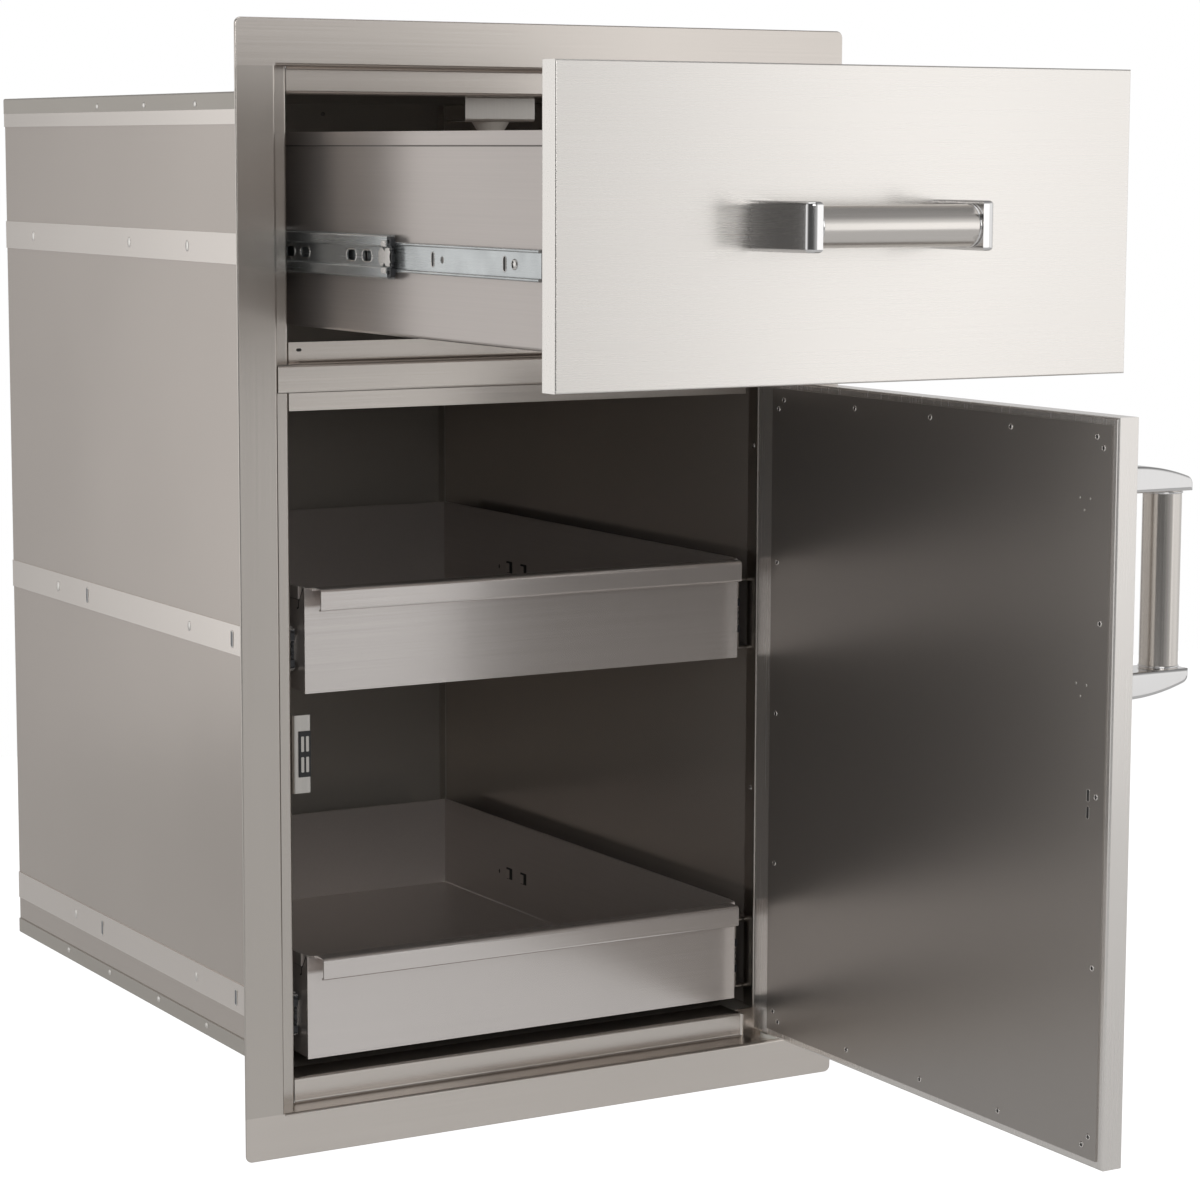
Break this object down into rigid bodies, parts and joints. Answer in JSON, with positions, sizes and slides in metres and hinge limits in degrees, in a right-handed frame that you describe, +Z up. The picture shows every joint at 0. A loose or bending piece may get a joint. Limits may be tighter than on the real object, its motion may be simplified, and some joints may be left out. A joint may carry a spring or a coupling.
{
  "type": "built-in door and drawer unit",
  "caption": "Built-in stainless door and drawer unit for an outdoor kitchen: a full-width drawer on ball slides above a hinged door that closes over sliding trays.",
  "frame": {"origin": "middle of the face frame's bottom edge, on the back face of its flange", "axes": "+X to the right seen from the front, +Y back into the island, +Z up"},
  "size_m": [0.5094, 0.999, 0.8],
  "materials": {
    "bumper_clear": "translucent, matte",
    "bush_nylon": "matte",
    "case_side_steel": "matte rolled sheet",
    "case_steel": "matte rolled sheet",
    "door_bar_steel": "satin, grain along the bar",
    "door_steel": "satin, grain level",
    "drawer_box_steel": "satin",
    "drawer_front_steel": "satin, grain level",
    "fitting_zinc": "satin",
    "handle_bar_steel": "satin, grain along the bar",
    "handle_chrome": "polished",
    "inner_zinc": "bright zinc plate",
    "liner_steel": "satin",
    "magnet_black": "matte",
    "middle_zinc": "bright zinc plate",
    "rail_steel": "satin, grain level",
    "retainer_steel": "bare steel",
    "slide_rail_steel": "matte rolled sheet",
    "slide_zinc": "bright zinc plate",
    "stile_steel": "satin, grain upright",
    "strip_steel": "matte rolled sheet",
    "tray_front_steel": "satin, grain level",
    "tray_steel": "satin"
  },
  "bodies": {
    "cabinet": {"case_back": "case_steel", "case_bottom_cap": "case_steel", "case_top_cap": "case_steel", "catch_bracket": "fitting_zinc", "catch_magnet": "magnet_black", "head_rail": "rail_steel", "hinge_bushes": "bush_nylon", "left_backing_strips": "strip_steel", "left_case_side": "case_side_steel", "left_slide_rails": "slide_rail_steel", "left_stile": "stile_steel", "low_left_slide_outer": "slide_zinc", "low_right_slide_outer": "slide_zinc", "mid_left_slide_outer": "slide_zinc", "mid_rail": "rail_steel", "mid_right_slide_outer": "slide_zinc", "right_backing_strips": "strip_steel", "right_case_side": "case_side_steel", "right_slide_rails": "slide_rail_steel", "right_stile": "stile_steel", "sill_rail": "rail_steel", "stop_bracket": "fitting_zinc", "stop_bumper": "bumper_clear", "top_left_slide_outer": "slide_zinc", "top_right_slide_outer": "slide_zinc"},
    "top_drawer": {"drawer_front_skin": "drawer_front_steel", "drawer_front_liner": "liner_steel", "drawer_box": "drawer_box_steel", "drawer_handle_tube": "handle_bar_steel", "drawer_handle_left_bracket": "handle_chrome", "drawer_handle_right_bracket": "handle_chrome", "top_left_slide_inner": "inner_zinc", "top_right_slide_inner": "inner_zinc"},
    "top_slide_middles": {"top_left_slide_middle": "middle_zinc", "top_right_slide_middle": "middle_zinc", "top_ball_retainers": "retainer_steel"},
    "mid_tray": {"mid_tray_pan": "tray_steel", "mid_tray_front": "tray_front_steel", "mid_left_slide_inner": "inner_zinc", "mid_right_slide_inner": "inner_zinc"},
    "mid_slide_middles": {"mid_left_slide_middle": "middle_zinc", "mid_right_slide_middle": "middle_zinc", "mid_ball_retainers": "retainer_steel"},
    "low_tray": {"low_tray_pan": "tray_steel", "low_tray_front": "tray_front_steel", "low_left_slide_inner": "inner_zinc", "low_right_slide_inner": "inner_zinc"},
    "low_slide_middles": {"low_left_slide_middle": "middle_zinc", "low_right_slide_middle": "middle_zinc", "low_ball_retainers": "retainer_steel"},
    "door": {"door_skin": "door_steel", "door_liner": "liner_steel", "door_handle_tube": "door_bar_steel", "door_handle_upper_bracket": "handle_chrome", "door_handle_lower_bracket": "handle_chrome", "upper_pivot_block": "fitting_zinc", "lower_pivot": "fitting_zinc", "door_strike": "fitting_zinc"},
    "hinge_pin": {"upper_hinge_pin": "fitting_zinc"}
  },
  "joints": [
    {"name": "drawer_slide", "type": "slide", "parent": "cabinet", "child": "top_drawer", "axis": [0, -1, 0], "range_m": [-0.3815, 0]},
    {"name": "drawer_middle_slide", "type": "slide", "parent": "cabinet", "child": "top_slide_middles", "axis": [0, -1, 0], "range_m": [-0.18159, 0]},
    {"name": "mid_tray_slide", "type": "slide", "parent": "cabinet", "child": "mid_tray", "axis": [0, -1, 0], "range_m": [0, 0.3815]},
    {"name": "mid_middle_slide", "type": "slide", "parent": "cabinet", "child": "mid_slide_middles", "axis": [0, -1, 0], "range_m": [0, 0.15947]},
    {"name": "low_tray_slide", "type": "slide", "parent": "cabinet", "child": "low_tray", "axis": [0, -1, 0], "range_m": [0, 0.3815]},
    {"name": "low_middle_slide", "type": "slide", "parent": "cabinet", "child": "low_slide_middles", "axis": [0, -1, 0], "range_m": [0, 0.15947]},
    {"name": "door_hinge", "type": "hinge", "parent": "cabinet", "child": "door", "pos_m": [0.19975, 0.008, 0.2878], "axis": [0, 0, 1], "range_deg": [-90, 0]},
    {"name": "hinge_pin_slide", "type": "slide", "parent": "door", "child": "hinge_pin", "axis": [0, 0, 1], "range_m": [-0.01, 0], "stiffness_N_per_m": 250, "springref_m": 0.006}
  ],
  "couplings": [
    {"joint": "drawer_middle_slide", "follows": "drawer_slide", "ratio": 0.476},
    {"joint": "mid_middle_slide", "follows": "mid_tray_slide", "ratio": 0.418},
    {"joint": "low_middle_slide", "follows": "low_tray_slide", "ratio": 0.418}
  ]
}
